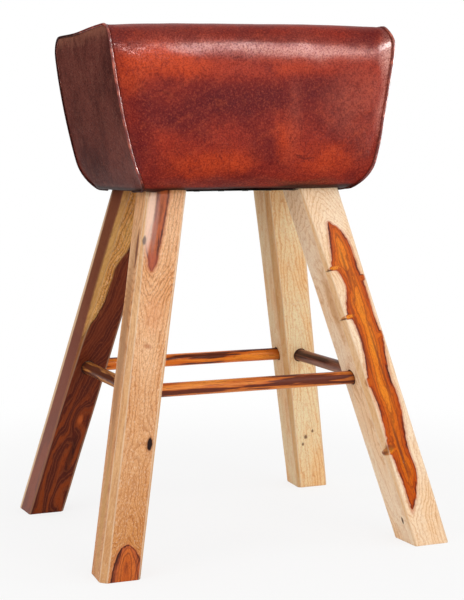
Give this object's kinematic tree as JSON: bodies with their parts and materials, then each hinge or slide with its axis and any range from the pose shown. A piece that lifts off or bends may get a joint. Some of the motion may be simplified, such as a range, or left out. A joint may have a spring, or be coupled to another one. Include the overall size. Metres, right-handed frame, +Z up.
{
  "type": "bar stool",
  "caption": "Tall stool with a padded leather block seat, corded end seams and splayed square timber legs joined by round rungs.",
  "frame": {"origin": "on the floor, at the middle of the four feet", "axes": "+Z up, +X along the seat's long side to the sitter's right as seen from the front, -Y towards the front"},
  "size_m": [0.5704, 0.4931, 0.8104],
  "materials": {
    "hide": "burnished red-brown, waxed",
    "end_hide": "darker brown, waxed",
    "welt": "dark brown, polished",
    "cloth": "black woven cloth, matt",
    "foam": "open foam, matt",
    "leg_timber": "clear satin lacquer",
    "rung_timber": "clear satin lacquer",
    "box_timber": "sawn, unfinished",
    "screw_steel": "zinc plated",
    "staple_steel": "galvanised"
  },
  "bodies": {
    "root": {"leather_wrap": "hide", "leather_end_left": "end_hide", "leather_end_right": "end_hide", "piping_left": "welt", "piping_right": "welt", "dust_cover": "cloth", "foam_top": "foam", "foam_front": "foam", "foam_rear": "foam", "foam_left": "foam", "foam_right": "foam", "leg_front_left": "leg_timber", "leg_front_right": "leg_timber", "leg_rear_left": "leg_timber", "leg_rear_right": "leg_timber", "rung_front": "rung_timber", "rung_rear": "rung_timber", "rung_left": "rung_timber", "rung_right": "rung_timber", "base_board": "box_timber", "side_board_front": "box_timber", "side_board_rear": "box_timber", "end_board_left": "box_timber", "end_board_right": "box_timber", "top_board": "box_timber", "leg_screws": "screw_steel", "frame_screws": "screw_steel", "leather_staples": "staple_steel", "dust_cover_staples": "staple_steel"}
  },
  "joints": []
}
